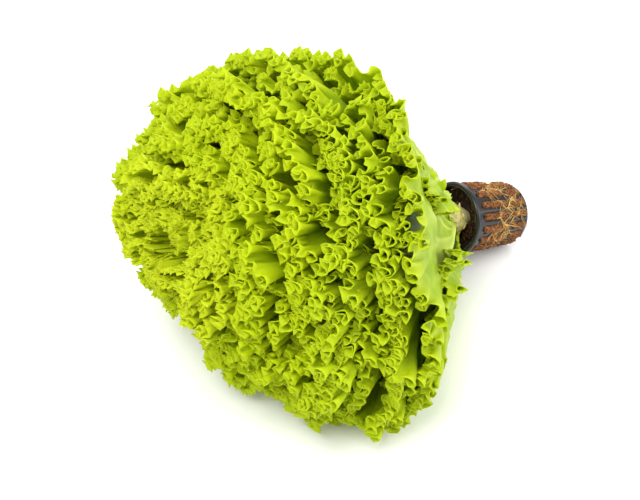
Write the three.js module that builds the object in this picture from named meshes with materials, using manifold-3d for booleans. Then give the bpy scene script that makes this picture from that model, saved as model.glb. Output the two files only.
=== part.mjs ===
// A curly green lettuce, harvested whole with its roots still in a slotted nursery pot, lying on its side.
// Millimetres, +Z up, floor at z = 0. The plant's axis runs from the pot (+X end) to the head (-X end),
// tilted a little upwards. The origin is under the middle of the bounding box.
//
// The leaves are nested: each grows from its own height on the stem and follows its own bell-shaped layer,
// so no two leaves can cross. The layers lean less where the floor is in their way, so the head rests on it.
import * as THREE from "three";
import Module from "manifold-3d";
import { mergeVertices } from "three/addons/utils/BufferGeometryUtils.js";

const wasm = await Module();
wasm.setup();

const DEG = Math.PI / 180;
const GAP = 0.3; // clearance between neighbouring pieces

// --- Driving dimensions ---------------------------------------------------------------------------------
const TILT = 18.5 * DEG; // how far the plant's axis rises towards the head

const POT_LENGTH = 57; // rim plane to base
const POT_RIM_R = 25; // outer wall at the rim
const POT_BASE_R = 21.5; // outer wall at the base
const POT_LIP = 2.2; // how far the rolled lip stands out
const POT_LIP_DEPTH = 2.4;
const POT_WALL = 1.2;
const POT_SLOTS = 16; // around each tier
const SLOT_WIDTH = 5.8;
const SLOT_TIERS = [
  [-54.5, -40],
  [-35.5, -10],
]; // each tier's ends, measured from the rim plane
const BASE_SLOTS = 6;

const PLUG_TOP = -13; // coir surface below the rim plane
const PLUG_CROWN = 4; // how far the coir domes up
const TUFT_PROUD = 1.2; // how far the coir bulges out of the pot's slots

const STEM_ROOT_Z = -30; // tap root's end, inside the coir
const STEM_R = 10.5; // at the rim plane
const STEM_TIP_Z = 62;
const STEM_TIP_R = 3.2;

const HEAD_MIDDLE = new THREE.Vector3(3, -4, 151); // centre of the egg shape that the leaves fill
const HEAD_HALF = new THREE.Vector3(112, 152, 109); // its half-axes: up, sideways and along the plant
const UNDERCUT = 0.2; // how much the egg's lower front is cut back
const SKIRT = 122; // outer leaves reach this far from their foot, even outside the egg
const LEAVES = 28;
const GOLDEN = 137.508 * DEG; // angle between one leaf and the next
const FIRST_LEAF = 228 * DEG; // turn of the outermost leaf about the axis
const OPEN_OUTER = 68 * DEG; // how far the outermost and innermost leaves lean from the axis
const OPEN_INNER = 4 * DEG;
const SAG = 0.165; // how much more the leaves lean below the axis, and less above it
const FLOOR_GAP = 3.2; // how far the outermost layer stays above the floor
const LEAF_T = 1.3; // blade thickness
const PETIOLE_T = 0.4; // extra thickness at the foot of the leaf

const ROOTS = 7;
const ROOT_R = 0.8;

// --- Small helpers ---------------------------------------------------------------------------------------
const clamp01 = (x) => Math.min(1, Math.max(0, x));
const lerp = (a, b, t) => a + (b - a) * t;
function smooth(a, b, x) {
  const t = clamp01((x - a) / (b - a));
  return t * t * (3 - 2 * t);
}

// A repeatable spread of values from -1 to 1 for leaf or root number k.
const vary = (k, seed) => Math.sin(k * 2.399 + seed * 1.7 + Math.sin(k * 1.3 + seed));

// --- The plant's own frame -------------------------------------------------------------------------------
// Inside the plant group +Z is the axis from the pot to the head, with z = 0 at the pot's rim plane,
// +X is the upper side and +Y stays +Y.
const RIM_HEIGHT = POT_BASE_R * Math.cos(TILT) + POT_LENGTH * Math.sin(TILT); // pot's base edge on the floor
const plant = new THREE.Group();
plant.rotation.y = -(Math.PI / 2 - TILT);
plant.position.z = RIM_HEIGHT;

// --- The leaves' layers ----------------------------------------------------------------------------------
// share runs from 0, the outermost leaf, to 1, the innermost. A layer is a bell about the axis: at distance
// s from its foot it leans from the axis by layerAngle. turn is the angle about the axis: 0 is the upper
// side, a quarter turn is the +Y side.
const layerFoot = (share) => lerp(-3, 21, share);

// The lean at which a leaf s long would touch the floor.
function floorAngle(s, turn) {
  const rise = Math.sin(TILT);
  const fall = Math.cos(TILT) * Math.cos(turn);
  const slope = Math.hypot(rise, fall);
  const reach = Math.min(1, (RIM_HEIGHT - FLOOR_GAP) / (s * slope));
  return Math.max(0.05, Math.atan2(fall, rise) + Math.acos(-reach));
}

function layerAngle(share, s, turn) {
  const turned = 0.86 - SAG * Math.cos(turn) + 0.03 * Math.cos(2 * turn);
  const open = OPEN_OUTER * turned * (1 - 0.18 * (s / 190) ** 1.4);
  const allowed = (open ** -6 + floorAngle(s, turn) ** -6) ** (-1 / 6);
  return allowed * lerp(1, OPEN_INNER / OPEN_OUTER, share);
}

// How far out a point lies in the head: 1 on the egg's surface.
function headShare(p) {
  const q = p.clone().sub(HEAD_MIDDLE);
  q.z += UNDERCUT * Math.max(0, -p.x);
  return q.divide(HEAD_HALF).length();
}

// --- Geometry helpers ------------------------------------------------------------------------------------
// A closed geometry whose shared vertices are merged, with only its positions left.
function welded(geometry) {
  geometry.deleteAttribute("normal");
  geometry.deleteAttribute("uv");
  return mergeVertices(geometry, 1e-3);
}

// Moves every vertex of a geometry by a function of its place.
function bend(geometry, move) {
  const position = geometry.getAttribute("position");
  const p = new THREE.Vector3();
  for (let i = 0; i < position.count; i++) {
    const moved = move(p.fromBufferAttribute(position, i));
    position.setXYZ(i, moved.x, moved.y, moved.z);
  }
  geometry.computeVertexNormals();
  return geometry;
}

function toSolid(geometry) {
  const g = welded(geometry.clone());
  return new wasm.Manifold(
    new wasm.Mesh({
      numProp: 3,
      vertProperties: new Float32Array(g.attributes.position.array),
      triVerts: new Uint32Array(g.index.array),
    }),
  );
}

function toGeometry(solid) {
  const mesh = solid.getMesh();
  const g = new THREE.BufferGeometry();
  g.setAttribute("position", new THREE.BufferAttribute(mesh.vertProperties, 3));
  g.setIndex(new THREE.BufferAttribute(mesh.triVerts, 1));
  g.computeVertexNormals();
  return g;
}

// A lathe about the plant's axis, from [radius, z] points that start and end on the axis or close.
function lathe(profile, segments) {
  const points = profile.map(([r, z]) => new THREE.Vector2(r, z));
  return new THREE.LatheGeometry(points, segments).rotateX(Math.PI / 2);
}

// --- Nursery pot -----------------------------------------------------------------------------------------
// Outer radius of the pot's wall at height z.
const potRadius = (z) => lerp(POT_BASE_R, POT_RIM_R, clamp01((z + POT_LENGTH) / POT_LENGTH));

function potGeometry() {
  const inner = (z) => potRadius(z) - POT_WALL;
  const wall = lathe(
    [
      [0, -POT_LENGTH],
      [POT_BASE_R, -POT_LENGTH],
      [potRadius(-POT_LIP_DEPTH), -POT_LIP_DEPTH],
      [POT_RIM_R + POT_LIP, -POT_LIP_DEPTH],
      [POT_RIM_R + POT_LIP, -0.6],
      [POT_RIM_R + POT_LIP - 0.6, 0],
      [inner(0), 0],
      [inner(-POT_LENGTH), -POT_LENGTH + POT_WALL],
      [0, -POT_LENGTH + POT_WALL],
    ],
    2 * POT_SLOTS,
  );
  let pot = toSolid(wall);
  const cut = (box) => {
    pot = pot.subtract(toSolid(box));
  };
  for (const [low, high] of SLOT_TIERS) {
    for (let i = 0; i < POT_SLOTS; i++) {
      const slot = new THREE.BoxGeometry(12, SLOT_WIDTH, high - low);
      slot.translate(POT_RIM_R, 0, (low + high) / 2);
      cut(slot.rotateZ(((i + 0.5) / POT_SLOTS) * 2 * Math.PI));
    }
  }
  for (let i = 0; i < BASE_SLOTS; i++) {
    const slot = new THREE.BoxGeometry(9, 3, 4 * POT_WALL);
    slot.translate(11, 0, -POT_LENGTH);
    cut(slot.rotateZ((i / BASE_SLOTS) * 2 * Math.PI));
  }
  return toGeometry(pot);
}

// --- Stem and coir ---------------------------------------------------------------------------------------
// The stem's radius at height z: a stout cone above the rim plane, a tap root below it.
function stemRadius(z) {
  if (z > 0) return lerp(STEM_R, STEM_TIP_R, (z / STEM_TIP_Z) ** 0.9);
  return lerp(STEM_R, 3, clamp01(z / STEM_ROOT_Z) ** 0.7);
}

const STEM_RINGS = [-30, -20, -12, -6, 0, 8, 18, 30, 42, 54, 62];

// A closed cone of the stem's shape, grown outwards by clearance.
function stemGeometry(clearance = 0) {
  const rings = STEM_RINGS.map((z) => [stemRadius(z) + clearance, z]);
  rings[0][1] -= clearance;
  return lathe([[0, rings[0][1]], ...rings, [0, STEM_TIP_Z]], 16);
}

function plugGeometry() {
  const fit = (z) => potRadius(z) - POT_WALL - GAP;
  const top = [0.25, 0.5, 0.75, 1].map((share) => [
    fit(PLUG_TOP) * (1.02 - share),
    PLUG_TOP + PLUG_CROWN * Math.sin((share * Math.PI) / 2),
  ]);
  const floor = -POT_LENGTH + POT_WALL + GAP;
  const core = lathe(
    [[0, floor], [fit(floor), floor], [fit(PLUG_TOP), PLUG_TOP], ...top, [0, PLUG_TOP + PLUG_CROWN]],
    2 * POT_SLOTS,
  );
  let plug = toSolid(core);
  for (const [low, high] of SLOT_TIERS) {
    const top = Math.min(high, PLUG_TOP) - GAP;
    const reach = potRadius(low) + TUFT_PROUD;
    for (let i = 0; i < POT_SLOTS; i++) {
      const tuft = new THREE.BoxGeometry(8, SLOT_WIDTH - 2 * GAP, top - low - GAP);
      tuft.translate(reach - 4, 0, (low + GAP + top) / 2);
      plug = plug.add(toSolid(tuft.rotateZ(((i + 0.5) / POT_SLOTS) * 2 * Math.PI)));
    }
  }
  return toGeometry(plug.subtract(toSolid(stemGeometry(GAP))));
}

// --- Leaves ----------------------------------------------------------------------------------------------
// The point of a layer at s along it and turned about the axis, with its outward normal.
function onLayer(share, s, turn) {
  const radiusAt = (d) => d * Math.sin(layerAngle(share, d, turn));
  const heightAt = (d) => layerFoot(share) + d * Math.cos(layerAngle(share, d, turn));
  const dr = radiusAt(s + 0.5) - radiusAt(s - 0.5);
  const dz = heightAt(s + 0.5) - heightAt(s - 0.5);
  const out = new THREE.Vector3(Math.cos(turn), Math.sin(turn), 0);
  const point = out.clone().multiplyScalar(radiusAt(s)).setZ(heightAt(s));
  const normal = out.clone().multiplyScalar(dz).setZ(-dr).normalize();
  return { point, normal, radius: radiusAt(s) };
}

// Where a layer leaves the stem, and where it comes out of the head's surface.
function layerEnds(share, turn) {
  const gapToStem = (s) => {
    const { point, radius } = onLayer(share, s, turn);
    return radius - stemRadius(point.z) - PETIOLE_T - GAP;
  };
  let foot = 6;
  while (gapToStem(foot) < 0.6) foot += 0.25;
  let tip = SKIRT;
  while (headShare(onLayer(share, tip, turn).point) < 1) tip += 1;
  return { foot, tip };
}

const LEAF_COLUMNS = 10;
const LEAF_ROWS = 7;

// One leaf: a slab bent onto its layer, narrow at the foot, fan-shaped, pleated along its margin.
function leafGeometry(k) {
  const share = k / (LEAVES - 1);
  const azimuth = FIRST_LEAF + k * GOLDEN + 4 * DEG * vary(k, 1);
  const size = 1 + 0.03 * vary(k, 2);
  const halfWidth = lerp(84, 52, share) * (1 + 0.05 * vary(k, 3));
  const footHalfWidth = lerp(7, 4, share);
  const slab = new THREE.BoxGeometry(2, 1, 1, LEAF_COLUMNS, LEAF_ROWS, 1);
  return bend(slab, ({ x: across, y, z: side }) => {
    const up = y + 0.5;
    const half = lerp(footHalfWidth, halfWidth, smooth(0.02, 0.8, up)) * (1 - 0.1 * smooth(0.8, 1, up));
    const reach = onLayer(share, 15 + 165 * up, azimuth).radius;
    const turn = azimuth + across * Math.min(half / reach, 66 * DEG);
    const { foot, tip } = layerEnds(share, turn);
    const s = foot + (tip - foot) * size * up * (1 - 0.2 * Math.abs(across) ** 3);
    const { point, normal } = onLayer(share, s, turn);
    const pleat = Math.cos(across * LEAF_COLUMNS * 0.5 * Math.PI) * 1.4 * smooth(0.5, 1, up);
    const thick = LEAF_T + PETIOLE_T * (1 - smooth(0, 0.35, up)) * (1 - 0.5 * across * across);
    return point.addScaledVector(normal, pleat + side * thick);
  });
}

// --- Roots that have grown out through the slots ----------------------------------------------------------
// Each lies on the outside of the pot's wall and wanders along it.
function rootGeometry(i) {
  const start = -16 - 5 * (i % 3);
  const end = start - 19 - 5 * ((i * 2) % 3);
  const across = (-100 + i * 32) * DEG; // spread over the upper half and both sides
  const path = [];
  for (let j = 0; j <= 4; j++) {
    const z = lerp(start, end, j / 4);
    const turn = across + 0.16 * Math.sin(2.1 * j + i) + 0.02 * j;
    const r = potRadius(z) + TUFT_PROUD + ROOT_R + GAP;
    path.push(new THREE.Vector3(r * Math.cos(turn), r * Math.sin(turn), z));
  }
  const section = new THREE.Shape().absarc(0, 0, ROOT_R, 0, 2 * Math.PI);
  return new THREE.ExtrudeGeometry(section, {
    extrudePath: new THREE.CatmullRomCurve3(path),
    steps: 14,
    curveSegments: 3,
  });
}

// --- Assembly ----------------------------------------------------------------------------------------------
const finish = (colour, roughness) => new THREE.MeshStandardMaterial({ color: colour, roughness, metalness: 0 });
const BLACK_PLASTIC = finish(0x24262a, 0.45);
const COIR = finish(0x6e4220, 0.95);
const STEM_FLESH = finish(0xdde3a0, 0.5);
const ROOT_SKIN = finish(0xc79a55, 0.8);
const leafGreen = (share) =>
  finish(new THREE.Color(0x9cc417).lerp(new THREE.Color(0xd0dc4a), share), 0.55);

function add(name, geometry, material) {
  const mesh = new THREE.Mesh(geometry, material);
  mesh.name = name;
  plant.add(mesh);
}

add("net_pot", potGeometry(), BLACK_PLASTIC);
add("coir_plug", plugGeometry(), COIR);
add("stem", stemGeometry(), STEM_FLESH);
for (let k = 0; k < LEAVES; k++) {
  const number = String(k + 1).padStart(2, "0");
  add("leaf_" + number, leafGeometry(k), leafGreen(k / (LEAVES - 1)));
}
for (let i = 0; i < ROOTS; i++) add("root_" + (i + 1), rootGeometry(i), ROOT_SKIN);

// The whole lettuce stands over the origin: middle of its box in X and Y, lowest point at z = 0.
const lettuce = new THREE.Group();
lettuce.add(plant);
lettuce.updateMatrixWorld(true);
const box = new THREE.Box3().setFromObject(lettuce, true);
const centre = box.getCenter(new THREE.Vector3());
lettuce.position.set(-centre.x, -centre.y, -box.min.z);

export default lettuce;
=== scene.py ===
"""A curly green lettuce lying on its side, its roots and coir still in a slotted nursery pot.

Lengths in the dataclasses are millimetres. Meshes are made in metres, in the frame's own coordinates.
"""
import sys
import logging
import math
from dataclasses import dataclass, field
from enum import Enum

import bmesh
import bpy
import numpy as np
from mathutils import Matrix, Vector


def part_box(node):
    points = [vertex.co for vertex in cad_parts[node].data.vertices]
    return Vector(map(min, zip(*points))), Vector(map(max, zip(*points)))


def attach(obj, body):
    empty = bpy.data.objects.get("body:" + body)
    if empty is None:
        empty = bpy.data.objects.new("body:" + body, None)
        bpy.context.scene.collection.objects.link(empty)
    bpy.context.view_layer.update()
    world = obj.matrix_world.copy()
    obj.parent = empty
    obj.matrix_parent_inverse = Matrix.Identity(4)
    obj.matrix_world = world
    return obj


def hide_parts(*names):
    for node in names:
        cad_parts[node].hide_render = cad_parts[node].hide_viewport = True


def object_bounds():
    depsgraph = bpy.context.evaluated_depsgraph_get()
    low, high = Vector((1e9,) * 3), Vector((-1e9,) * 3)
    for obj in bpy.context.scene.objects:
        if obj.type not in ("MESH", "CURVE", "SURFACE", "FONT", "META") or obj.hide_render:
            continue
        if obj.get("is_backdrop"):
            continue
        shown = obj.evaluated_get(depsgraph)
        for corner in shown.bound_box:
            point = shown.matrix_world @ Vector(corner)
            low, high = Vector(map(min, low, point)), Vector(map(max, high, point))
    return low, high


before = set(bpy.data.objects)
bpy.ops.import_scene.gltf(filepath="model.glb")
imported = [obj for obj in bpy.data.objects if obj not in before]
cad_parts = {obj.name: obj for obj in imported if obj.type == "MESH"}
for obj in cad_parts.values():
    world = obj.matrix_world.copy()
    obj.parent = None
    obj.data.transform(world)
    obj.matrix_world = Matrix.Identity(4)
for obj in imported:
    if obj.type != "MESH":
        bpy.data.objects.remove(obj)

MM = 0.001
BODY = "root"
LOG = logging.getLogger("lettuce")
REST_HEIGHT = 0.35
FURTHEST = {0: 170.0, 1: 153.5, 2: 212.0}
FURTHEST_SOFTNESS = 2.0
POT_SOFTNESS = 0.6


# --- Helpers ------------------------------------------------------------------------------------------------
def linear(colour: str) -> tuple[float, float, float, float]:
    """Turns an sRGB hex colour into linear light.

    Args:
        colour: six hex digits after a hash.

    Returns:
        Linear red, green and blue, and an alpha of 1.
    """
    parts = [int(colour[i : i + 2], 16) / 255 for i in (1, 3, 5)]
    light = [c / 12.92 if c <= 0.04045 else ((c + 0.055) / 1.055) ** 2.4 for c in parts]
    return (light[0], light[1], light[2], 1.0)


def smooth(low: float, high: float, x: np.ndarray | float) -> np.ndarray:
    """Eases from 0 at low to 1 at high."""
    t = np.clip((x - low) / (high - low), 0.0, 1.0)
    return t * t * (3.0 - 2.0 * t)


def wander(rng: np.random.Generator, x: np.ndarray, octaves: int = 4) -> np.ndarray:
    """A smooth random line that wanders between about -1 and 1 in steps of about 1 along x.

    Args:
        rng: where its randomness comes from.
        x: places along the line.
        octaves: how many waves make it up.

    Returns:
        The line's height at each place.
    """
    height = np.zeros_like(x)
    for _ in range(octaves):
        height += np.sin(x * rng.uniform(0.6, 2.2) + rng.uniform(0.0, 2.0 * math.pi))
    return height / math.sqrt(octaves)


def above_floor(points: np.ndarray, softness: float = 2.2) -> np.ndarray:
    """Lifts whatever is near or under the floor so that it lies on it, and draws in what sticks out too far.

    Args:
        points: places in millimetres, z last.
        softness: the height over which things are squeezed.

    Returns:
        The places, all above the floor.
    """
    lifted = points.copy()
    z = points[..., 2]
    lifted[..., 2] = REST_HEIGHT + softness * np.logaddexp(0.0, (z - REST_HEIGHT) / softness)
    for axis, limit in FURTHEST.items():
        size = np.abs(lifted[..., axis])
        drawn_in = FURTHEST_SOFTNESS * np.logaddexp(0.0, (size - limit) / FURTHEST_SOFTNESS)
        lifted[..., axis] = np.sign(lifted[..., axis]) * (size - drawn_in)
    return lifted


def read_places(mesh: bpy.types.Mesh) -> np.ndarray:
    """Reads a mesh's vertices.

    Args:
        mesh: the mesh.

    Returns:
        One row of x, y and z for each vertex, as stored.
    """
    places = np.zeros(len(mesh.vertices) * 3, np.float32)
    mesh.vertices.foreach_get("co", places)
    return places.reshape(-1, 3).astype(float)


def write_places(mesh: bpy.types.Mesh, places: np.ndarray) -> None:
    """Moves a mesh's vertices.

    Args:
        mesh: the mesh.
        places: where its vertices go, in millimetres.
    """
    mesh.vertices.foreach_set("co", (places * MM).astype(np.float32).ravel())


def spun(profile: list[tuple[float, float]], steps: int) -> bmesh.types.BMesh:
    """Spins a profile about the z axis.

    Args:
        profile: radius and height of each point.
        steps: how many steps the turn is made in.

    Returns:
        The open shell, to be freed by the caller.
    """
    bm = bmesh.new()
    verts = [bm.verts.new((r, 0.0, z)) for r, z in profile]
    edges = [bm.edges.new(pair) for pair in zip(verts, verts[1:])]
    bmesh.ops.spin(
        bm, geom=verts + edges, cent=(0, 0, 0), axis=(0, 0, 1), angle=2 * math.pi, steps=steps, use_merge=True
    )
    bmesh.ops.remove_doubles(bm, verts=bm.verts, dist=1e-4)
    return bm


def to_mesh(bm: bmesh.types.BMesh, name: str) -> bpy.types.Mesh:
    """Turns a BMesh into a mesh with its faces outwards, and frees it.

    Args:
        bm: the shell.
        name: the mesh's name.

    Returns:
        The mesh.
    """
    bmesh.ops.recalc_face_normals(bm, faces=bm.faces)
    mesh = bpy.data.meshes.new(name)
    bm.to_mesh(mesh)
    bm.free()
    return mesh


def add_node(
    tree: bpy.types.NodeTree,
    kind: str,
    settings: dict[str, object] | None = None,
    inputs: dict[str | int, object] | None = None,
) -> bpy.types.Node:
    """Adds a shader node.

    Args:
        tree: the node tree to add it to.
        kind: the node's type.
        settings: its properties.
        inputs: a value or a socket to link for each of its inputs.

    Returns:
        The node.
    """
    node = tree.nodes.new(kind)
    for name, value in (settings or {}).items():
        setattr(node, name, value)
    for name, value in (inputs or {}).items():
        if isinstance(value, bpy.types.NodeSocket):
            tree.links.new(value, node.inputs[name])
        else:
            node.inputs[name].default_value = value
    return node


def blend(tree: bpy.types.NodeTree, share: object, low: object, high: object) -> bpy.types.NodeSocket:
    """Mixes two colours in a node tree.

    Args:
        tree: the node tree.
        share: the socket that says how much of the high colour is taken.
        low: the colour, or its socket, where the share is 0.
        high: the colour, or its socket, where the share is 1.

    Returns:
        The socket of the mixed colour.
    """
    return add_node(tree, "ShaderNodeMix", {"data_type": "RGBA"}, {0: share, 6: low, 7: high}).outputs[2]


def spread_out(
    tree: bpy.types.NodeTree, value: bpy.types.NodeSocket, low: float, high: float, kind: str = "LINEAR"
) -> bpy.types.NodeSocket:
    """Stretches a value so that it runs from 0 at low to 1 at high.

    Args:
        tree: the node tree.
        value: the value's socket.
        low: where the result is 0.
        high: where the result is 1.
        kind: how it goes from one to the other.

    Returns:
        The result's socket.
    """
    limits = {"Value": value, "From Min": low, "From Max": high}
    return add_node(tree, "ShaderNodeMapRange", {"interpolation_type": kind}, limits).outputs["Result"]


def raised(
    tree: bpy.types.NodeTree, height: bpy.types.NodeSocket, strength: float, depth: float
) -> bpy.types.NodeSocket:
    """Turns a height into a fine relief.

    Args:
        tree: the node tree.
        height: the height's socket, 0 to 1.
        strength: how much of the relief is seen, 0 to 1.
        depth: the relief's depth in millimetres.

    Returns:
        The normal's socket.
    """
    inputs = {"Height": height, "Strength": strength, "Distance": depth * MM}
    return add_node(tree, "ShaderNodeBump", None, inputs).outputs["Normal"]


def empty_material(name: str) -> bpy.types.Material:
    """Makes a material with an empty node tree.

    Args:
        name: the material's name.

    Returns:
        The material.
    """
    made = bpy.data.materials.new(name)
    made.use_nodes = True
    made.node_tree.nodes.clear()
    return made


def new_object(name: str, mesh: bpy.types.Mesh, material: bpy.types.Material) -> bpy.types.Object:
    """Puts a mesh in the scene with one material and smooth shading.

    Args:
        name: the object's name.
        mesh: its mesh, already in place.
        material: its only material.

    Returns:
        The object.
    """
    mesh.materials.clear()
    mesh.materials.append(material)
    mesh.shade_smooth()
    made = bpy.data.objects.new(name, mesh)
    bpy.context.scene.collection.objects.link(made)
    return made


def stand_for(piece: bpy.types.Object, node: str, slot: str) -> None:
    """Shows a piece in place of a CAD node.

    Args:
        piece: the finished piece.
        node: the CAD node it stands for.
        slot: the record's material slot; not used.
    """
    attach(piece, BODY)
    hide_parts(node)
    LOG.info("%s: %d faces", piece.name, len(piece.data.polygons))


def strands(name: str, paths: list[np.ndarray], radii: list[float]) -> bpy.types.Mesh:
    """Makes thin round strands that taper to their far ends.

    Args:
        name: the mesh's name.
        paths: each strand's points, in millimetres.
        radii: each strand's radius at its thick end, in millimetres.

    Returns:
        One mesh of all the strands, in metres.
    """
    curve = bpy.data.curves.new(name, "CURVE")
    curve.dimensions = "3D"
    curve.bevel_depth = MM
    curve.bevel_resolution = 0
    curve.use_fill_caps = True
    for path, radius in zip(paths, radii):
        spline = curve.splines.new("POLY")
        spline.points.add(len(path) - 1)
        spline.points.foreach_set("co", np.c_[path * MM, np.ones(len(path))].astype(np.float32).ravel())
        taper = radius * np.linspace(1.0, 0.35, len(path))
        spline.points.foreach_set("radius", taper.astype(np.float32))
    holder = bpy.data.objects.new(name, curve)
    mesh = bpy.data.meshes.new_from_object(holder)
    bpy.data.objects.remove(holder)
    return mesh


# --- Finishes -----------------------------------------------------------------------------------------------
@dataclass(frozen=True)
class LeafFinish:
    """A living lettuce leaf: thin, waxy and translucent, paler along its ribs, brighter at its edge."""

    name: str
    blade: str
    shade: str
    edge: str
    rib: str
    patch: float = 12.5
    vein_cell: float = 1000.0 / 330.0

    def material(self) -> bpy.types.Material:
        """Builds the leaf's material; patch and vein_cell are sizes in millimetres.

        Returns:
            The material.
        """
        made = empty_material(self.name)
        tree = made.node_tree
        coordinates = add_node(tree, "ShaderNodeTexCoord").outputs
        place = coordinates["Object"]
        growth = add_node(tree, "ShaderNodeSeparateXYZ", None, {0: coordinates["UV"]})
        rib = add_node(tree, "ShaderNodeAttribute", {"attribute_name": "rib"})
        # A live leaf is yellow-green with a satin skin, and glows a little where light comes through it. Its green
        # deepens and lightens in patches, its frilled edge is brighter and its ribs are nearly white.
        patches = add_node(
            tree, "ShaderNodeTexNoise", None, {"Vector": place, "Scale": 1.0 / (self.patch * MM), "Detail": 3.0}
        )
        patch = spread_out(tree, patches.outputs["Fac"], 0.35, 0.65)
        blade = blend(tree, patch, linear(self.shade), linear(self.blade))
        rim = spread_out(tree, growth.outputs["Y"], 0.8, 1.0, "SMOOTHSTEP")
        edged = blend(tree, rim, blade, linear(self.edge))
        ribbed = blend(tree, rib.outputs["Fac"], edged, linear(self.rib))
        # The net of small veins stands up a fraction of a millimetre.
        net = add_node(
            tree,
            "ShaderNodeTexVoronoi",
            {"feature": "SMOOTH_F1"},
            {"Vector": place, "Scale": 1.0 / (self.vein_cell * MM)},
        )
        shader = add_node(
            tree,
            "ShaderNodeBsdfPrincipled",
            None,
            {
                "Base Color": ribbed,
                "Roughness": 0.55,
                "Specular IOR Level": 0.12,
                "Subsurface Weight": 0.2,
                "Subsurface Radius": (0.8, 1.0, 0.1),
                "Subsurface Scale": 0.0025,
                "Normal": raised(tree, net.outputs["Distance"], 0.35, 0.5),
            },
        )
        add_node(tree, "ShaderNodeOutputMaterial", None, {"Surface": shader.outputs["BSDF"]})
        return made


@dataclass(frozen=True)
class MottledFinish:
    """A natural or moulded surface with two colours mixed in patches, darkened by painted shade where an attribute
    says so.
    """

    name: str
    light: str
    dark: str
    grain: float
    roughness: float
    relief: float = 0.0
    balance: float = 0.5
    painted_shade: str = ""
    painted_shade_colour: str = "#140C07"

    def material(self) -> bpy.types.Material:
        """Builds the material; grain is the patches' size and relief their height, in millimetres.

        Returns:
            The material.
        """
        made = empty_material(self.name)
        tree = made.node_tree
        place = add_node(tree, "ShaderNodeTexCoord").outputs["Object"]
        noise = add_node(
            tree,
            "ShaderNodeTexNoise",
            None,
            {"Vector": place, "Scale": 1.0 / (self.grain * MM), "Detail": 4.0, "Roughness": 0.6},
        ).outputs["Fac"]
        share = spread_out(tree, noise, self.balance - 0.14, self.balance + 0.14)
        colour = blend(tree, share, linear(self.dark), linear(self.light))
        # Painted shade: an attribute darkens the colour towards a near-black brown where the surface lies in shade.
        if self.painted_shade:
            depth = add_node(tree, "ShaderNodeAttribute", {"attribute_name": self.painted_shade})
            colour = blend(tree, depth.outputs["Fac"], colour, linear(self.painted_shade_colour))
        inputs = {"Base Color": colour, "Roughness": self.roughness}
        if self.relief:
            inputs["Normal"] = raised(tree, noise, 0.8, self.relief)
        shader = add_node(tree, "ShaderNodeBsdfPrincipled", None, inputs)
        add_node(tree, "ShaderNodeOutputMaterial", None, {"Surface": shader.outputs["BSDF"]})
        return made


class LeafAge(Enum):
    """The three ages of leaf, from the outside in, each with its finish; the outer finish is also lighter as painted
    light, standing for light that shines through the outer leaves' backs.
    """

    # Painted light: the outer leaves' colours are partly their own yellow-green and partly lightened to stand for
    # light shining through their backs.
    OUTER = LeafFinish("outer lettuce leaf", "#9CB61C", "#86A312", "#ABBE12", "#CFDA68")
    MIDDLE = LeafFinish("middle lettuce leaf", "#88A608", "#698C06", "#AEC00E", "#BCC83E")
    HEART = LeafFinish("heart lettuce leaf", "#9AB010", "#7D9A09", "#B8C718", "#C8CE50")

    @classmethod
    def of_leaf(cls, number: int) -> "LeafAge":
        """The age of a leaf, counted from the outermost."""
        return cls.OUTER if number <= 9 else cls.MIDDLE if number <= 19 else cls.HEART


# --- The plant's axis and its pot's shape ---------------------------------------------------------------------
@dataclass(frozen=True)
class NurseryPotShape:
    """Sizes of the slotted pot, measured from its rim plane towards the base at negative z."""

    tilt: float = math.radians(18.5)
    length: float = 57.0
    rim_radius: float = 25.0
    base_radius: float = 21.5
    lip: float = 2.2
    wall: float = 1.2
    slots: int = 16
    slot_width: float = 5.8
    tiers: tuple[tuple[float, float], ...] = ((-54.5, -40.0), (-35.5, -10.0))
    plug_top: float = -13.0

    def rim_centre(self) -> np.ndarray:
        """Finds the middle of the pot's mouth from the CAD pot's box.

        Returns:
            Its place in the frame, in millimetres.
        """
        low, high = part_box("net_pot")
        x = high.x / MM - self.length * math.cos(self.tilt) - self.base_radius * math.sin(self.tilt)
        z = low.z / MM + self.base_radius * math.cos(self.tilt) + self.length * math.sin(self.tilt)
        return np.array([x, (low.y + high.y) / 2 / MM, z])

    def to_row(self, points: np.ndarray) -> np.ndarray:
        """Takes points from the plant's own axes (up, aside, ahead) to the frame's.

        Args:
            points: places in millimetres from the middle of the pot's mouth.

        Returns:
            The same places in the frame, in millimetres.
        """
        s, c = math.sin(self.tilt), math.cos(self.tilt)
        axes = np.array([[s, 0.0, c], [0.0, 1.0, 0.0], [-c, 0.0, s]])
        return points @ axes + self.rim_centre()

    def wall_radius(self, z: np.ndarray) -> np.ndarray:
        """The wall's outer radius at height z."""
        return self.base_radius + (self.rim_radius - self.base_radius) * np.clip(1.0 + z / self.length, 0, 1)

    def slot_share(self, turn: np.ndarray, z: np.ndarray, soft: float = 1.2) -> np.ndarray:
        """How far inside a slot a place on the wall is.

        Args:
            turn: angle about the axis.
            z: height, negative below the rim.
            soft: how quickly the share rises from the slot's edge, in millimetres.

        Returns:
            0 on the solid wall, rising to 1 in the middle of a slot.
        """
        step = 2 * math.pi / self.slots
        off = np.abs(np.mod(turn, step) - step / 2) * self.wall_radius(z)
        across = smooth(0.0, soft, self.slot_width / 2 - 0.2 - off)
        along = np.zeros_like(z)
        for low, high in self.tiers:
            along = np.maximum(along, smooth(0.0, soft, z - low - 0.2) * smooth(0.0, soft, high - 0.2 - z))
        return across * along


POT = NurseryPotShape()


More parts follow.
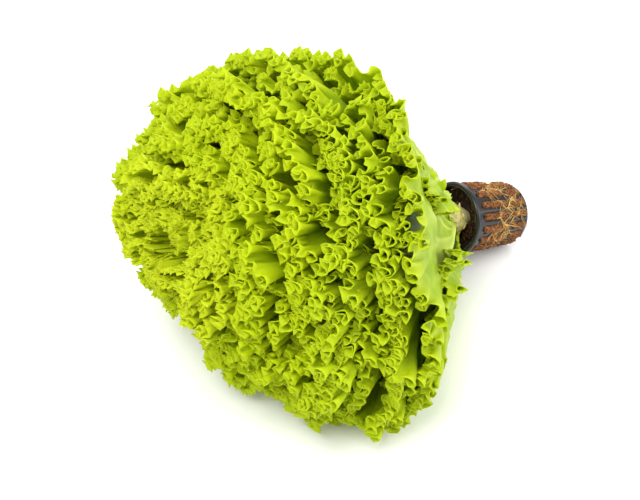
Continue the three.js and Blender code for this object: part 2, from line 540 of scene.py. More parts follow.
# --- Leaves -------------------------------------------------------------------------------------------------
@dataclass(frozen=True)
class LeafNest:
    """The nested bell-shaped layers that the leaves follow, as in the solid part.

    Each of spreads says where round the axis the outer leaves are longer or shorter than the plain head, how wide
    that stretch is, both in degrees, and by what share.
    """

    leaves: int = 28
    golden_angle: float = math.radians(137.508)
    first_leaf: float = math.radians(228.0)
    open_outer: float = math.radians(68.0)
    open_inner: float = math.radians(4.0)
    sag: float = 0.165
    floor_gap: float = 3.2
    middle: tuple[float, float, float] = (3.0, -4.0, 151.0)
    half: tuple[float, float, float] = (112.0, 152.0, 109.0)
    undercut: float = 0.38
    skirt: float = 122.0
    stem_radius: float = 10.5
    stem_tip: float = 62.0
    spreads: tuple[tuple[float, float, float], ...] = (
        (226.0, 26.0, 0.1),
        (352.0, 40.0, 0.07),
        (58.0, 22.0, -0.06),
        (274.0, 20.0, -0.07),
    )

    def lean(self, share: float, s: np.ndarray, turn: np.ndarray) -> np.ndarray:
        """The lean from the axis of a layer, s along it and turned about the axis.

        Args:
            share: 0 for the outermost leaf to 1 for the innermost.
            s: distance from the layer's foot.
            turn: angle about the axis, 0 on the upper side.

        Returns:
            The angle from the axis.
        """
        rise = math.sin(POT.tilt)
        fall = math.cos(POT.tilt) * np.cos(turn)
        rim_height = POT.base_radius * math.cos(POT.tilt) + POT.length * math.sin(POT.tilt)
        reach = np.minimum(1.0, (rim_height - self.floor_gap) / (s * np.hypot(rise, fall)))
        floor = np.maximum(0.05, np.arctan2(fall, rise) + np.arccos(-reach))
        turned = 0.86 - self.sag * np.cos(turn) + 0.03 * np.cos(2 * turn)
        free = self.open_outer * turned * (1.0 - 0.18 * (s / 190.0) ** 1.4)
        allowed = (free**-6 + floor**-6) ** (-1 / 6)
        return allowed * (1.0 + (self.open_inner / self.open_outer - 1.0) * share)

    def place(self, share: float, s: np.ndarray, turn: np.ndarray, lift: np.ndarray | float = 0.0) -> np.ndarray:
        """A place on a layer, or lifted off its outer side.

        Args:
            share: 0 for the outermost leaf to 1 for the innermost.
            s: distance along the layer from its foot.
            turn: angle about the axis.
            lift: distance outwards from the layer.

        Returns:
            Places from the middle of the pot's mouth: up, aside and ahead.
        """
        foot = -3.0 + 24.0 * share
        before, after = self.lean(share, s - 0.5, turn), self.lean(share, s + 0.5, turn)
        here = self.lean(share, s, turn)
        dr = (s + 0.5) * np.sin(after) - (s - 0.5) * np.sin(before)
        dz = (s + 0.5) * np.cos(after) - (s - 0.5) * np.cos(before)
        size = np.hypot(dr, dz)
        radius = s * np.sin(here) + lift * dz / size
        ahead = foot + s * np.cos(here) - lift * dr / size
        return np.stack([radius * np.cos(turn), radius * np.sin(turn), ahead], -1)

    def head_share(self, places: np.ndarray) -> np.ndarray:
        """How far out places are in the head.

        Args:
            places: places from the middle of the pot's mouth: up, aside and ahead.

        Returns:
            0 in the head's middle to 1 on its surface, and more outside it.
        """
        off = places - np.array(self.middle)
        off[..., 2] += self.undercut * np.maximum(0.0, -places[..., 0])
        return np.linalg.norm(off / np.array(self.half), axis=-1)

    def fullness(self, share: float, turn: np.ndarray) -> np.ndarray:
        """How much longer than the plain head the outer leaves are, where they droop or spread.

        Args:
            share: 0 for the outermost leaf to 1 for the innermost.
            turn: angle about the axis, 0 on the upper side.

        Returns:
            A factor on the leaves' length.
        """
        spread = np.zeros_like(turn)
        for centre, width, gain in self.spreads:
            off = np.mod(turn - math.radians(centre) + math.pi, 2 * math.pi) - math.pi
            spread += gain * np.exp(-((off / math.radians(width)) ** 2))
        return 1.0 + spread * (1.0 - smooth(0.1, 0.5, share))

    def ends(self, share: float, turns: np.ndarray) -> tuple[np.ndarray, np.ndarray]:
        """Where a layer leaves the stem and where it comes out of the head's surface.

        Args:
            share: 0 for the outermost leaf to 1 for the innermost.
            turns: angles about the axis.

        Returns:
            The distance along the layer of its foot and of its tip at each angle.
        """
        near = np.arange(5.0, 90.0, 0.25)[:, None]
        low = self.place(share, near, turns[None, :])
        radius = np.hypot(low[..., 0], low[..., 1])
        ahead = np.maximum(low[..., 2], 0.0)
        stem = self.stem_radius + (3.2 - self.stem_radius) * (np.minimum(ahead, self.stem_tip) / self.stem_tip) ** 0.9
        foot = near[np.argmax(radius > stem + 0.5, axis=0), 0]
        far = np.arange(self.skirt, 290.0, 1.0)[:, None]
        outside = self.head_share(self.place(share, far, turns[None, :])) >= 1.0
        tip = far[np.argmax(outside, axis=0), 0]
        return foot, tip


@dataclass(frozen=True)
class Ruffle:
    """One generation of folds that grow towards a leaf's margin."""

    wavelength: float
    swing: float
    begins: float


@dataclass(frozen=True)
class Band:
    """A band of rows across a leaf, up to a share of the way to its margin. Each band is twice as fine."""

    ends_at: float
    rows: int


@dataclass
class FrilledSheet:
    """A flat sheet whose cells get finer towards one edge, from which every leaf is bent."""

    starts_at: float = 0.0
    spread: float = 0.0
    columns: int = 64
    bands: tuple[Band, ...] = (Band(0.45, 6), Band(0.64, 3), Band(0.8, 3), Band(0.92, 3), Band(1.0, 3))
    ribs: tuple[float, ...] = (-0.78, -0.56, -0.36, -0.17, 0.17, 0.36, 0.56, 0.78)
    across: np.ndarray = field(init=False)
    out: np.ndarray = field(init=False)
    column_of: np.ndarray = field(init=False)
    row_of: np.ndarray = field(init=False)
    mesh: bpy.types.Mesh = field(init=False)

    def __post_init__(self) -> None:
        """Builds the sheet."""
        rows = [self.starts_at]
        for band in self.bands:
            rows.extend(np.linspace(rows[-1], band.ends_at, band.rows + 1)[1:])
        self.out = np.array(rows)
        finest = self.columns * 2 ** (len(self.bands) - 1)
        self.across = np.linspace(-1.0, 1.0, finest + 1)
        bm = bmesh.new()
        count = len(rows) - 1
        bmesh.ops.create_grid(bm, x_segments=self.columns, y_segments=count, size=1.0)
        done = 0
        for band in self.bands[:-1]:
            done += band.rows
            start = -1.0 + 2.0 * (done + 0.5) / count
            crossing = [
                e
                for e in bm.edges
                if e.verts[0].co.y > start and abs(e.verts[0].co.y - e.verts[1].co.y) < 0.5 / count
            ]
            bmesh.ops.subdivide_edges(bm, edges=crossing, cuts=1, use_grid_fill=True)
        self.mesh = bpy.data.meshes.new("flat leaf")
        bm.to_mesh(self.mesh)
        bm.free()
        places = read_places(self.mesh)
        self.column_of = np.rint((places[:, 0] + 1.0) / 2.0 * finest).astype(int)
        self.row_of = np.rint((places[:, 1] + 1.0) / 2.0 * count).astype(int)
        self._mark()

    def relief(self, q: np.ndarray, v: np.ndarray) -> np.ndarray:
        """How strongly the ribs stand out, from 0 to 1.

        Args:
            q: across the sheet, -1 to 1.
            v: outwards, 0 to 1.

        Returns:
            1 on the midrib, less on the side ribs, 0 between them and at the margin.
        """
        middle = np.exp(-((q / (0.13 * (1.0 - v) + 0.012)) ** 2))
        side = sum(np.exp(-(((q - rib * (1.0 + 0.1 * v)) / 0.021) ** 2)) for rib in self.ribs) * 0.7
        return np.maximum(middle, side) * (1.0 - smooth(0.4, 0.88, v))

    def _mark(self) -> None:
        """Writes the sheet's map, how strong its ribs are and how thick it is at each vertex."""
        q, v = self.across[self.column_of], self.out[self.row_of]
        corners = np.zeros(len(self.mesh.loops), np.int32)
        self.mesh.loops.foreach_get("vertex_index", corners)
        layer = self.mesh.uv_layers.new(name="growth")
        layer.data.foreach_set("uv", np.c_[q, v][corners].astype(np.float32).ravel())
        strength = np.clip(self.relief(q, v) + 0.6 * (1.0 - smooth(0.0, 0.2, v)), 0.0, 1.0)
        rib = self.mesh.attributes.new("rib", "FLOAT", "POINT")
        rib.data.foreach_set("value", strength.astype(np.float32))
        middle = np.exp(-((q / (0.16 * (1.0 - v) + 0.012)) ** 2))
        thick = np.clip(middle * (1.0 - smooth(0.1, 0.8, v)), 0.0, 1.0)
        holder = bpy.data.objects.new("flat leaf", self.mesh)
        group = holder.vertex_groups.new(name="thickness")
        finest = 12
        steps = np.rint(thick * finest).astype(int)
        for step in range(finest + 1):
            group.add(np.nonzero(steps == step)[0].tolist(), step / finest, "REPLACE")
        bpy.data.objects.remove(holder)


@dataclass
class Layer:
    """The stretch of one layer of the nest that a sheet is bent onto, centred on an angle about the axis."""

    nest: LeafNest
    share: float
    turn: float

    def __post_init__(self) -> None:
        """Finds the layer's foot and tip all the way round."""
        self.around = np.linspace(-math.pi, math.pi, 121)
        self.foot_table, self.tip_table = self.nest.ends(self.share, self.turn + self.around)

    def place(self, swing: np.ndarray, up: np.ndarray, lift: np.ndarray | float) -> np.ndarray:
        """Places on the layer, or lifted off its outer side.

        Args:
            swing: angle about the axis from the layer's centre.
            up: share of the way from the foot to the tip.
            lift: distance outwards from the layer.

        Returns:
            Places from the middle of the pot's mouth: up, aside and ahead.
        """
        foot = np.interp(swing, self.around, self.foot_table) - 1.5
        tip = np.interp(swing, self.around, self.tip_table)
        up = up * self.nest.fullness(self.share, self.turn + swing)
        return self.nest.place(self.share, foot + (tip - foot) * up, self.turn + swing, lift)


@dataclass(frozen=True)
class Habit:
    """How one leaf grows: where its margin folds over itself, and how it hangs.

    Each of folds_at is an angle from the leaf's middle, in degrees, and how many layers further in the fold lies.
    """

    folds_at: tuple[tuple[float, float], ...] = ((-22.0, 0.25), (22.0, 0.9), (0.0, 0.55))
    drape: float = 0.0
    turned: float = 0.0
    broader: float = 1.0


HABITS = {
    1: Habit(folds_at=((-32.0, 0.0),), turned=14.0, broader=1.2),
    2: Habit(folds_at=((-52.0, 0.0), (22.0, 0.3)), drape=12.0),
    3: Habit(folds_at=((-22.0, 0.2), (22.0, 0.4))),
    4: Habit(drape=7.0),
}


@dataclass
class CurlyLeaf:
    """One frilled leaf, bent from the flat sheet onto its own layer of the nest."""

    nest: LeafNest
    whole: FrilledSheet
    fold: FrilledSheet
    material: bpy.types.Material
    number: int
    ruffles: tuple[Ruffle, ...] = (Ruffle(46.0, 0.5, 0.3), Ruffle(14.0, 1.4, 0.68), Ruffle(5.4, 1.1, 0.84))
    tooth: float = 3.0
    trumpet: float = 1.6
    flare: float = 8.0
    lobe: float = 0.05
    mound: float = 0.07
    blade: float = 0.45
    midrib: float = 3.0

    def __post_init__(self) -> None:
        """Works out where the leaf stands in the spiral and how big it is."""
        k = self.number - 1
        self.habit = HABITS.get(self.number, Habit())
        self.share = k / (self.nest.leaves - 1)
        self.rng = np.random.default_rng(700 + k)
        vary = [math.sin(k * 2.399 + seed * 1.7 + math.sin(k * 1.3 + seed)) for seed in (1, 2, 3)]
        self.turn = self.nest.first_leaf + k * self.nest.golden_angle + math.radians(4.0) * vary[0]
        self.turn += math.radians(self.habit.turned)
        self.length = 1.0 + 0.03 * vary[1]
        self.half_width = (84.0 - 32.0 * self.share) * (1.0 + 0.05 * vary[2]) * self.habit.broader
        self.foot_half_width = 7.0 - 3.0 * self.share

    def surface(
        self, sheet: FrilledSheet, layer: Layer, q: np.ndarray, v: np.ndarray, lift: np.ndarray | float = 0.0
    ) -> np.ndarray:
        """Where places on a flat sheet lie on a layer, or lifted off its outer side.

        Args:
            sheet: the flat sheet.
            layer: the layer it is bent onto.
            q: across the sheet, -1 to 1.
            v: outwards, from 0 at the leaf's foot to 1 at its margin.
            lift: distance outwards from the layer.

        Returns:
            Places from the middle of the pot's mouth: up, aside and ahead.
        """
        if sheet.spread:
            return layer.place(q * sheet.spread, v * self.length * (1.0 - 0.2 * np.abs(q) ** 5), lift)
        bearing = q * math.radians(130.0)
        corner = (np.abs(np.sin(bearing)) ** 2.6 + np.abs(np.cos(bearing)) ** 2.6) ** (-1 / 2.6)
        aside = q * (1.0 - v) + corner * np.sin(bearing) * v
        up = np.clip((0.55 + 0.45 * corner * np.cos(bearing)) * v, 0.0, 1.2)
        half = self.foot_half_width + (self.half_width - self.foot_half_width) * smooth(0.02, 0.8, up)
        reach_s = 15.0 + 165.0 * up
        reach = reach_s * np.sin(self.nest.lean(layer.share, reach_s, np.full_like(reach_s, self.turn)))
        swing = aside * np.minimum(half * (1.0 - 0.1 * smooth(0.8, 1.0, up)) / reach, math.radians(66.0))
        return layer.place(swing, self.length * up * (1.0 - 0.2 * np.abs(aside) ** 3), lift)

    def folds(
        self, sheet: FrilledSheet, margin: np.ndarray, spacing: np.ndarray
    ) -> tuple[np.ndarray, np.ndarray]:
        """Meanders the rows of the leaf, more and more towards the margin.

        Args:
            sheet: the flat sheet that is being bent.
            margin: distance along the unfolded margin at each column.
            spacing: distance from each column to the next in each row.

        Returns:
            How far each place moves along its row, and how far off the layer.
        """
        out = sheet.out[:, None]
        # The outermost blades lie open beside the pot, so their sides are smooth from nearer the middle.
        calm = 0.82 if self.share > 0.1 or sheet.spread else 0.68
        fade = 1.0 - smooth(calm, 0.98, np.abs(sheet.across))[None, :]
        fineness = 1.08 - 0.36 * self.share
        heading = np.zeros_like(spacing)
        for ruffle in self.ruffles:
            wave = ruffle.wavelength * fineness
            phase = 2 * math.pi * margin / wave + 1.2 * wander(self.rng, margin / wave)
            strength = ruffle.swing * (1.0 + 0.25 * wander(self.rng, margin / wave * 0.6))
            heading += (strength * np.sin(phase))[None, :] * smooth(ruffle.begins, 1.0, out) ** 0.8 * fade
        along = np.cumsum(np.cos(heading) * spacing, axis=1)
        off = np.cumsum(np.sin(heading) * spacing, axis=1)
        plain = np.cumsum(spacing, axis=1)
        stretch = plain[:, -1:] / along[:, -1:]
        along = along * stretch - plain
        off = off * stretch
        width = int(0.75 * self.ruffles[1].wavelength * fineness / (margin[-1] / len(margin)))
        reach = np.arange(-3 * width, 3 * width + 1)
        blur = np.exp(-0.5 * (reach / width) ** 2)
        blur /= blur.sum()
        for moved in (along, off):
            for row in range(len(moved)):
                padded = np.pad(moved[row], 3 * width, mode="edge")
                moved[row] -= np.convolve(padded, blur, mode="valid")
        wide = self.ruffles[0]
        swell = 3.0 * np.sin(2 * math.pi * margin / wide.wavelength + wander(self.rng, margin / wide.wavelength))
        off += swell[None, :] * smooth(wide.begins, 0.9, out) * fade
        # The last rows turn outwards round each bend, like the mouth of a trumpet with an uneven, pointed rim.
        for row, reach in ((-1, 1.0), (-2, 0.55), (-3, 0.2)):
            point = self.teeth(len(margin)) if row == -1 else 0.0
            outwards = np.tanh(np.gradient(heading[row]) / 0.12) * (self.trumpet * reach + point)
            along[row] += outwards * np.sin(heading[row])
            off[row] -= outwards * np.cos(heading[row])
        return along * fade, off * fade

    def teeth(self, count: int) -> np.ndarray:
        """Draws a row of uneven pointed teeth, each four columns wide.

        Args:
            count: how many columns the margin has.

        Returns:
            How far each column of the margin stands out.
        """
        shape = np.array([0.0, 0.3, 1.0, 0.2])
        height = self.rng.uniform(0.3, 1.0, count // 4 + 1)
        return np.tile(shape, count // 4 + 1)[:count] * np.repeat(height, 4)[:count] * self.tooth

    def bend(self, sheet: FrilledSheet, layer: Layer) -> bpy.types.Mesh:
        """Bends a copy of a flat sheet onto a layer.

        Args:
            sheet: the flat sheet.
            layer: the layer it is bent onto.

        Returns:
            The bent mesh, in metres.
        """
        q, v = np.meshgrid(sheet.across, sheet.out)
        flat = self.surface(sheet, layer, q, v)
        spacing = np.linalg.norm(np.diff(flat, axis=1, prepend=flat[:, :1]), axis=-1)
        margin = np.cumsum(spacing[-1])
        along, off = self.folds(sheet, margin, spacing)
        per_q = np.maximum(np.linalg.norm(np.gradient(flat, axis=1), axis=-1), 1e-3) / (q[0, 1] - q[0, 0])
        per_v = np.maximum(np.linalg.norm(flat[-1] - flat[-2], axis=-1), 0.2) / (v[-1, 0] - v[-2, 0])
        moved_q = np.clip(q + along / per_q, -1.0, 1.0)
        v = v + smooth(0.965, 1.0, v) * (0.5 * self.teeth(len(margin)) / per_v)[None, :]
        bend = smooth(0.6, 1.0, v)
        flare = self.flare * smooth(0.02, 0.3, self.share) + (self.habit.drape if sheet.spread else 0.0)
        flare = flare * (0.75 + 0.35 * wander(self.rng, 4.0 * q))
        lobes = 0.4 + 0.4 * wander(self.rng, margin / 7.0)[None, :]
        hollows = self.hollows(flat[-1])[None, :]
        sink = self.lobe * bend * lobes + 0.0015 * bend * np.abs(off) + self.mound * bend * hollows
        blisters = np.sin(70.0 * v + 2.0 * wander(self.rng, 12.0 * q))
        blisters *= np.sin(30.0 * q + 2.0 * wander(self.rng, 16.0 * v))
        veins = 1.3 * sheet.relief(q, v) + smooth(0.1, 0.3, v) * (1.0 - bend) * (
            1.1 * blisters + 1.6 * wander(self.rng, 7.0 * q) * np.sin(17.0 * v + 5.0 * q)
        )
        local = self.surface(sheet, layer, moved_q, v - sink, off + flare * bend**2 + veins)
        chosen = above_floor(POT.to_row(local)[sheet.row_of, sheet.column_of])
        mesh = sheet.mesh.copy()
        write_places(mesh, chosen)
        return mesh

    def hollows(self, places: np.ndarray) -> np.ndarray:
        """How deep places on the head's surface lie between its mounds.

        Args:
            places: places from the middle of the pot's mouth, in rows.

        Returns:
            0 on a mound to about 1 in a hollow.
        """
        x, y, z = (places + 6.0 * self.share).T
        folds = np.sin(x / 12.0 + 1.4 * np.sin(y / 19.0)) + np.sin(y / 13.0 + 1.4 * np.sin(z / 17.0) + 1.0)
        return np.clip(0.5 + 0.3 * (folds + 0.6 * np.sin(z / 11.0 + x / 23.0)), 0.0, 1.2)

    def build(self) -> bpy.types.Object:
        """Bends the leaf and its folds, joins them and gives them their thickness.

        Returns:
            The finished leaf.
        """
        step = 1.0 / (self.nest.leaves - 1)
        bm = bmesh.new()
        for aside, inwards in self.habit.folds_at:
            share = min(1.0, self.share + inwards * step)
            bm.from_mesh(self.bend(self.fold, Layer(self.nest, share, self.turn + math.radians(aside))))
        mesh = self.bend(self.whole, Layer(self.nest, self.share, self.turn))
        bm.from_mesh(mesh)
        bm.to_mesh(mesh)
        bm.free()
        name = f"leaf_{self.number:02d}"
        leaf = new_object(f"{name}_frilled", mesh, self.material)
        solid = leaf.modifiers.new("blade", "SOLIDIFY")
        solid.thickness = self.midrib * MM
        solid.offset = 0.0
        solid.vertex_group = "thickness"
        solid.thickness_vertex_group = self.blade / self.midrib
        stand_for(leaf, name, f"leaf_{LeafAge.of_leaf(self.number).name.lower()}")
        return leaf


# --- Pot, coir, roots and stem --------------------------------------------------------------------------------
@dataclass
class NurseryPot:
    """The thin black cup with a rolled lip, two tiers of slots and a slotted base."""

    shape: NurseryPotShape
    per_slot: int = 6
    inset: float = 0.45
    base_ring: tuple[float, float] = (9.0, 18.0)
    rest_height: float = 0.62

    def build(self) -> bpy.types.Object:
        """Spins the wall, opens its slots and gives it thickness and rounded edges.

        Returns:
            The finished pot.
        """
        s = self.shape
        inner, outer = self.base_ring
        # The lip rolls over and down from the mouth, then the wall runs down to the base.
        profile = [
            (s.rim_radius + s.lip, -3.0),
            (s.rim_radius + s.lip + 0.1, -1.2),
            (s.rim_radius + s.lip - 0.5, -0.35),
            (s.rim_radius + 0.7, -0.2),
            (s.rim_radius - 0.3, -0.5),
            (s.rim_radius - self.inset, -2.0),
        ]
        heights = [-6.0, -10.0, -18.5, -27.0, -35.5, -37.75, -40.0, -47.0, -54.5, -56.4]
        profile += [(float(s.wall_radius(np.array(z))) - self.inset, z) for z in heights]
        profile += [(r, -s.length + 0.4) for r in (s.base_radius - 1.2, outer, inner, 4.0)]
        bm = spun(profile, s.slots * self.per_slot)
        step = 2 * math.pi / s.slots
        open_faces = []
        for face in bm.faces:
            c = face.calc_center_median()
            radius = math.hypot(c.x, c.y)
            share = (math.atan2(c.y, c.x) % step) / step
            in_tier = any(low < c.z < high for low, high in s.tiers) and radius > outer + 1.0
            in_base = c.z < -s.length + 1.0 and inner < radius < outer
            if (in_tier or in_base) and 1 / self.per_slot < share < 1 - 1 / self.per_slot:
                open_faces.append(face)
        bmesh.ops.delete(bm, geom=open_faces, context="FACES")
        hub = [e for e in bm.edges if e.is_boundary and math.hypot(*e.verts[0].co.xy) < 4.5]
        bmesh.ops.contextual_create(bm, geom=hub)
        mesh = to_mesh(bm, "net pot")
        write_places(mesh, np.maximum(s.to_row(read_places(mesh)), [-np.inf, -np.inf, self.rest_height]))
        # Injection-moulded black polypropylene: a slightly glossy skin with a faint dusty bloom.
        finish = MottledFinish("moulded black polypropylene", "#141619", "#090A0B", 9.0, 0.24)
        pot = new_object("net_pot_wall", mesh, finish.material())
        solid = pot.modifiers.new("wall", "SOLIDIFY")
        solid.thickness = 2 * self.inset * MM
        solid.offset = 0.0
        bevel = pot.modifiers.new("edges", "BEVEL")
        bevel.width = 0.25 * MM
        bevel.segments = 2
        bevel.limit_method = "ANGLE"
        stand_for(pot, "net_pot", "pot_plastic")
        return pot


@dataclass
class CoirPlug:
    """Coconut fibre that fills the pot, bulges out of its slots and is full of fine fibres."""

    shape: NurseryPotShape
    proud: float = 1.6
    clearance: float = 0.4
    fibres: int = 1500

    def skin_radius(self, turn: np.ndarray, z: np.ndarray) -> np.ndarray:
        """The radius of the coir's skin, further out in the slots.

        Args:
            turn: angle about the axis.
            z: height, negative below the rim.

        Returns:
            The radius at each place.
        """
        s = self.shape
        inner = s.wall_radius(z) - s.wall - self.clearance
        return inner + (s.wall + self.clearance + self.proud) * s.slot_share(turn, z)

    def build(self) -> bpy.types.Object:
        """Builds the plug's lumpy skin and its fibres as one piece.

        Returns:
            The finished plug.
        """
        s = self.shape
        rng = np.random.default_rng(41)
        floor = -s.length + s.wall + 0.3
        side = 20.0
        top = ((21.5, 3.0), (20.5, 0.0), (19.0, -1.5), (15.0, -2.0), (11.0, -0.5), (4.0, 2.0))
        profile = [(r, floor) for r in (2.0, 8.0, 15.0)]
        profile += [(side, float(z)) for z in np.linspace(floor, s.plug_top + 4.0, 62)]
        profile += [(r, s.plug_top + h) for r, h in top]
        bm = spun(profile, 256)
        bmesh.ops.holes_fill(bm, edges=bm.edges, sides=300)
        mesh = to_mesh(bm, "coir")
        p = read_places(mesh)
        turn, radius = np.arctan2(p[:, 1], p[:, 0]), np.hypot(p[:, 0], p[:, 1])
        lumps = np.zeros_like(turn)
        for _ in range(14):
            lumps += np.sin(turn * rng.integers(9, 60) + p[:, 2] * rng.uniform(-1.6, 1.6) + rng.uniform(0, 6.3))
        skin = self.skin_radius(turn, p[:, 2]) + 0.16 * lumps * (0.25 + s.slot_share(turn, p[:, 2]))
        # Painted shade: the coir's top and the top of its side are marked to be painted near-black brown, as the
        # pot's mouth is in shade.
        wall = np.abs(radius - side) < 0.01
        inside = np.where(wall, smooth(s.plug_top + 1.5, s.plug_top + 3.5, p[:, 2]), 1.0) * 0.93
        inside *= p[:, 2] > s.plug_top - 3.0
        painted_shade = mesh.attributes.new("painted_shade", "FLOAT", "POINT")
        painted_shade.data.foreach_set("value", inside.astype(np.float32))
        new = np.where(wall, skin, radius)
        p[:, 2] += np.where(wall, 0.0, 0.2 * lumps)
        placed = s.to_row(np.c_[new * np.cos(turn), new * np.sin(turn), p[:, 2]])
        write_places(mesh, above_floor(placed, POT_SOFTNESS))
        # Damp coconut fibre: rust brown, very rough, mottled at the size of its crumbs, with painted shade darkening
        # its top inside the pot's mouth.
        material = MottledFinish("damp coconut fibre", "#B4723E", "#26170D", 1.2, 0.92, 0.9, 0.5, "painted_shade").material()
        bm = bmesh.new()
        bm.from_mesh(mesh)
        bm.from_mesh(self._fibres(rng))
        bm.to_mesh(mesh)
        bm.free()
        plug = new_object("coir_plug_fibrous", mesh, material)
        stand_for(plug, "coir_plug", "coir")
        return plug

    def _fibres(self, rng: np.random.Generator) -> bpy.types.Mesh:
        """Short stray fibres over the coir's skin and its top.

        Args:
            rng: where their randomness comes from.

        Returns:
            One mesh of all the fibres.
        """
        s = self.shape
        paths, radii = [], []
        t = np.linspace(0.0, 1.0, 6)
        for i in range(self.fibres):
            if i % 16:
                slot = rng.integers(s.slots)
                low, high = s.tiers[rng.integers(2)]
                turn0 = (slot + rng.uniform(0.12, 0.88)) * 2 * math.pi / s.slots
                z0 = rng.uniform(low, high)
                length, angle = rng.uniform(3.0, 9.0), rng.uniform(0, 2 * math.pi)
                z = np.clip(z0 + length * np.cos(angle) * t, low + 0.3, high - 0.3)
                turn = turn0 + length * np.sin(angle) * t / 23.0
                r = self.skin_radius(turn, z) + 0.1
                r += rng.uniform(0.2, 1.1) * np.sin(t * math.pi * rng.uniform(0.7, 1.3))
                local = np.c_[r * np.cos(turn), r * np.sin(turn), z]
            else:
                turn0, r0 = rng.uniform(0, 2 * math.pi), rng.uniform(9.0, 22.0)
                heading = rng.uniform(0, 2 * math.pi)
                length = rng.uniform(3.0, 8.0)
                x = r0 * math.cos(turn0) + length * np.cos(heading) * t
                y = r0 * math.sin(turn0) + length * np.sin(heading) * t
                inside = np.minimum(1.0, 22.0 / np.maximum(np.hypot(x, y), 1e-3))
                z = s.plug_top + 2.0 + rng.uniform(0.0, 3.0) * np.sin(t * math.pi)
                local = np.c_[x * inside, y * inside, z]
            paths.append(above_floor(s.to_row(local), POT_SOFTNESS))
            radii.append(rng.uniform(0.14, 0.3))
        return strands("fibres", paths, radii)


@dataclass
class Roots:
    """Roots that have grown out of the slots and wander over the pot's wall, forking."""

    shape: NurseryPotShape
    plug: CoirPlug
    count: int = 7
    forks: int = 34

    def _over_wall(self, turn: np.ndarray, z: np.ndarray, clearance: np.ndarray | float) -> np.ndarray:
        """Finds places just off the pot's wall or the coir, whichever stands further out.

        Args:
            turn: angle about the axis.
            z: height, negative below the rim.
            clearance: distance off the wall.

        Returns:
            Places in the frame, in millimetres.
        """
        r = np.maximum(self.plug.skin_radius(turn, z), self.shape.wall_radius(z)) + clearance
        return above_floor(self.shape.to_row(np.c_[r * np.cos(turn), r * np.sin(turn), z]), POT_SOFTNESS)

    def build(self) -> None:
        """Builds each root with its forks and root hairs."""
        # Dry tan root skin with darker damp stretches.
        material = MottledFinish("tan root skin", "#E2BA68", "#94602A", 5.0, 0.7, 0.2).material()
        for i in range(self.count):
            rng = np.random.default_rng(90 + i)
            start = -16.0 - 5.0 * (i % 3)
            end = start - 19.0 - 5.0 * ((i * 2) % 3)
            turn0 = math.radians(-100.0 + i * 32.0)
            t = np.linspace(0.0, 1.0, 16)
            z = start + (end - start) * t
            turn = turn0 + 0.16 * np.sin(2.1 * 4 * t + i) + 0.08 * t
            paths, radii = [self._over_wall(turn, z, 0.45)], [0.6]
            for fork in range(self.forks):
                at = rng.uniform(0.05, 0.95)
                length, side = rng.uniform(6.0, 17.0), rng.choice([-1.0, 1.0])
                angle = side * rng.uniform(0.3, 1.1)
                u = np.linspace(0.0, 1.0, 9)
                bend = rng.uniform(-0.5, 0.5)
                zf = np.interp(at, t, z) - length * np.cos(angle + bend * u) * u
                tf = np.interp(at, t, turn) + length * np.sin(angle + bend * u) * u / 24.0
                zf = np.clip(zf, -56.0, -5.0)
                lift = 0.3 + rng.uniform(0.0, 1.6) * u**2
                paths.append(self._over_wall(tf, zf, lift))
                radii.append(rng.uniform(0.14, 0.36) if fork else 0.5)
            root = new_object(f"root_{i + 1}_forked", strands(f"root_{i + 1}", paths, radii), material)
            stand_for(root, f"root_{i + 1}", "root_skin")


@dataclass
class Stem:
    """The pale stem that carries the leaves, with the stubs of fallen leaves at its neck."""

    shape: NurseryPotShape
    stubs: int = 26
    neck: float = 8.2

    def build(self) -> bpy.types.Object:
        """Spins the stem and sets short stubs round its neck.

        Returns:
            The finished stem.
        """
        rng = np.random.default_rng(5)
        rings = [(0.0, -22.0), (3.0, -21.0), (5.0, -14.0), (8.0, -8.0), (10.2, -3.0), (10.5, 0.0), (9.6, 8.0)]
        rings += [(8.2, 18.0), (6.7, 30.0), (5.3, 42.0), (4.0, 54.0), (2.6, 61.0), (0.0, 62.5)]
        bm = spun(rings, 32)
        for i in range(self.stubs):
            turn, ahead = i * 2.4, rng.uniform(-8.0, 9.0)
            length, width = rng.uniform(4.0, 10.0), rng.uniform(1.6, 3.6)
            made = bmesh.ops.create_cone(
                bm, cap_ends=True, segments=8, radius1=width, radius2=0.35 * width, depth=length
            )["verts"]
            lean = rng.uniform(0.5, 1.1)
            place = (
                Matrix.Rotation(turn, 4, "Z")
                @ Matrix.Translation((self.neck, 0.0, ahead))
                @ Matrix.Rotation(lean, 4, "Y")
                @ Matrix.Translation((0.0, 0.0, length / 2))
                @ Matrix.Diagonal((0.3, 1.0, 1.0, 1.0))
            )
            bmesh.ops.transform(bm, verts=made, matrix=place)
        mesh = to_mesh(bm, "stem")
        write_places(mesh, self.shape.to_row(read_places(mesh)))
        # Pale living stem, browning in patches where old leaves were.
        finish = MottledFinish("pale stem", "#F2EFA6", "#CC9A38", 3.0, 0.7, 0.3, 0.42)
        stem = new_object("stem_neck", mesh, finish.material())
        stand_for(stem, "stem", "stem_flesh")
        return stem


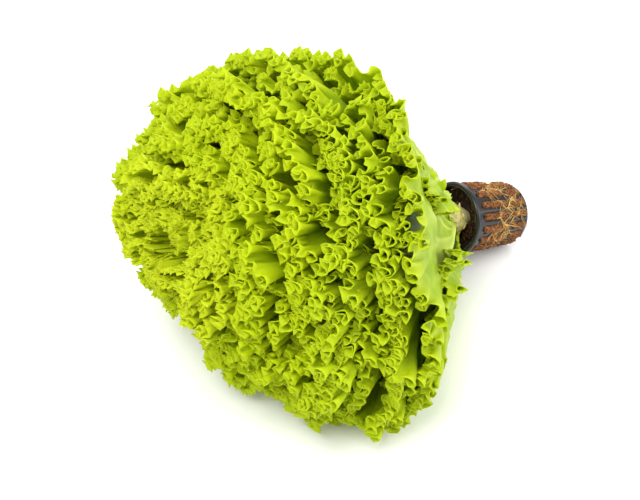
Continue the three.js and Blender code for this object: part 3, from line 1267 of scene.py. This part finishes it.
# --- Studio -------------------------------------------------------------------------------------------------
@dataclass
class Studio:
    """A pale floor, soft light all round and a camera that looks down on the head's open side."""

    shape: NurseryPotShape
    azimuth: float = math.radians(-31.7)
    elevation: float = math.radians(42.0)
    lens: float = 74.2
    distance: float = 980.0
    aside: float = 98.6
    above: float = 23.2

    def floor(self) -> None:
        """Lays a large pale floor."""
        bm = bmesh.new()
        bmesh.ops.create_grid(bm, x_segments=1, y_segments=1, size=6.0)
        mesh = bpy.data.meshes.new("floor")
        bm.to_mesh(mesh)
        bm.free()
        made = bpy.data.materials.new("white sweep paper")
        made.use_nodes = True
        shader = made.node_tree.nodes["Principled BSDF"]
        shader.inputs["Base Color"].default_value = linear("#FAFAFA")
        shader.inputs["Roughness"].default_value = 0.9
        new_object("floor", mesh, made)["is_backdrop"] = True

    def lights(self) -> None:
        """Sets a bright even surround and three large soft lamps."""
        world = bpy.data.worlds.new("studio")
        world.use_nodes = True
        sky = world.node_tree.nodes["Background"]
        sky.inputs["Color"].default_value = (1.0, 1.0, 1.0, 1.0)
        sky.inputs["Strength"].default_value = 0.88
        bpy.context.scene.world = world
        for name, place, size, power in (
            ("key", (-0.75, -0.35, 1.5), 0.9, 21.0),
            ("fill", (0.95, -0.75, 0.7), 0.9, 8.0),
            ("back", (0.7, 1.3, 1.2), 1.2, 16.0),
        ):
            lamp = bpy.data.lights.new(name, "AREA")
            lamp.energy = power
            lamp.size = size
            holder = bpy.data.objects.new(name, lamp)
            holder.location = place
            holder.rotation_euler = Vector(place).to_track_quat("Z", "Y").to_euler()
            bpy.context.scene.collection.objects.link(holder)
            holder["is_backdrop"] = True

    def camera(self) -> None:
        """Places the camera from where the pot's mouth stands in its view."""
        a, e = self.azimuth, self.elevation
        back = np.array([math.sin(a) * math.cos(e), -math.cos(a) * math.cos(e), math.sin(e)])
        right = np.array([math.cos(a), math.sin(a), 0.0])
        up = np.cross(back, right)
        place = self.shape.rim_centre() - self.aside * right - self.above * up + self.distance * back
        made = bpy.data.cameras.new("camera")
        made.lens = self.lens
        made.sensor_width = 36.0
        made.clip_end = 20.0
        made.dof.use_dof = False
        holder = bpy.data.objects.new("camera", made)
        holder.location = Vector(place * MM)
        holder.rotation_euler = Vector(back).to_track_quat("Z", "Y").to_euler()
        bpy.context.scene.collection.objects.link(holder)
        bpy.context.scene.camera = holder

    def build(self) -> None:
        """Sets up the whole studio."""
        self.floor()
        self.lights()
        self.camera()
        bpy.context.scene.view_settings.view_transform = "Standard"


def corners() -> list[list[float]]:
    """The shown object's lowest and highest corners as plain lists."""
    return [[round(c, 5) for c in corner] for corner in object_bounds()]


def main() -> None:
    """Builds the lettuce and the studio around it."""
    logging.basicConfig(level=logging.INFO, format="%(name)s: %(message)s", stream=sys.stdout)
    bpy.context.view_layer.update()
    NurseryPot(POT).build()
    plug = CoirPlug(POT)
    plug.build()
    Roots(POT, plug).build()
    nest = LeafNest()
    Stem(POT).build()
    whole = FrilledSheet()
    fine = FrilledSheet(0.0, 0.0, 128, (Band(0.45, 14), Band(0.64, 8), Band(0.8, 6), Band(0.92, 4), Band(1.0, 3)))
    fold = FrilledSheet(0.66, math.radians(55.0), 128, (Band(0.8, 2), Band(0.92, 3), Band(1.0, 4)))
    materials = {age: age.value.material() for age in LeafAge}
    for number in range(1, nest.leaves + 1):
        # The three outermost leaves show their broad backs, so they are bent from the finer sheet.
        blade = fine if number < 4 else whole
        CurlyLeaf(nest, blade, fold, materials[LeafAge.of_leaf(number)], number).build()
    Studio(POT).build()
    LOG.info("size %s", corners())


if __name__ == "__main__":
    main()
